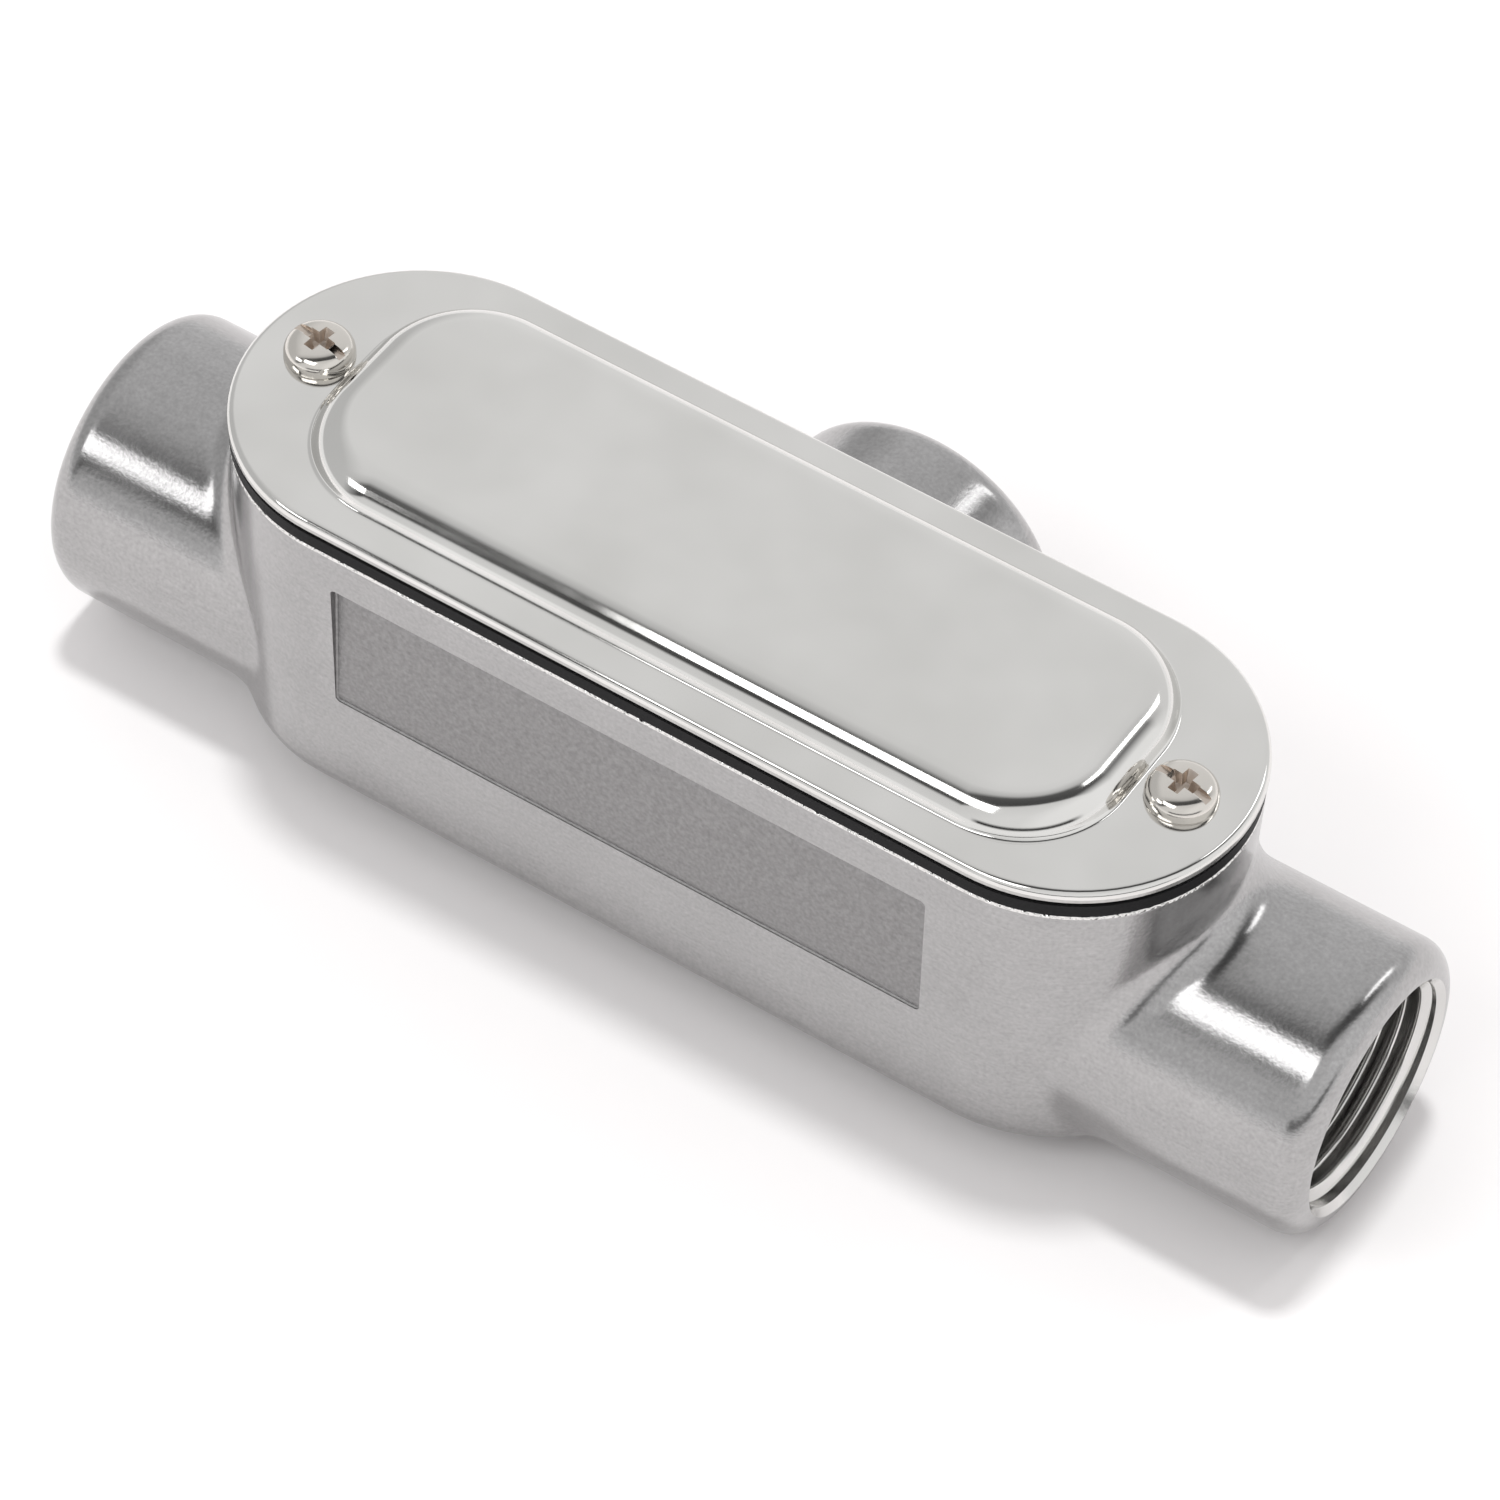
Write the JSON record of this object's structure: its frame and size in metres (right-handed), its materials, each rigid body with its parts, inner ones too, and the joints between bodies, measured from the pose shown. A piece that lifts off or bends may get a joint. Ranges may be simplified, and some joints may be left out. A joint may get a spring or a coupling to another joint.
{
  "type": "conduit body",
  "caption": "T-type metal conduit body: cast housing with threaded hubs on three sides, rubber gasket and a raised screwed-on cover.",
  "frame": {"origin": "centre of the bottom of the bounding box; the three hubs touch z = 0", "axes": "+Z out through the cover, +X along the run from one run hub to the other, +Y out of the branch hub"},
  "size_m": [0.1618, 0.0608, 0.0514],
  "materials": {
    "housing_steel": "satin, as cast and brushed stainless steel",
    "cover_steel": "polished stainless steel, finely satined on its flat faces",
    "gasket_rubber": "matt black",
    "screw_steel": "bright turned stainless steel"
  },
  "bodies": {
    "housing": {"housing": "housing_steel", "cover_gasket": "gasket_rubber"},
    "cover": {"cover": "cover_steel"},
    "left_screw": {"cover_screw_left": "screw_steel"},
    "right_screw": {"cover_screw_right": "screw_steel"}
  },
  "joints": [
    {"name": "cover_lift", "type": "slide", "parent": "housing", "child": "cover", "axis": [0, 0, 1], "range_m": [0, 0.04]},
    {"name": "left_screw_turn", "type": "hinge", "parent": "cover", "child": "left_screw", "pos_m": [-0.0542, -0.00978, 0.05], "axis": [0, 0, 1], "continuous": true},
    {"name": "right_screw_turn", "type": "hinge", "parent": "cover", "child": "right_screw", "pos_m": [0.0542, -0.00978, 0.05], "axis": [0, 0, 1], "continuous": true}
  ]
}
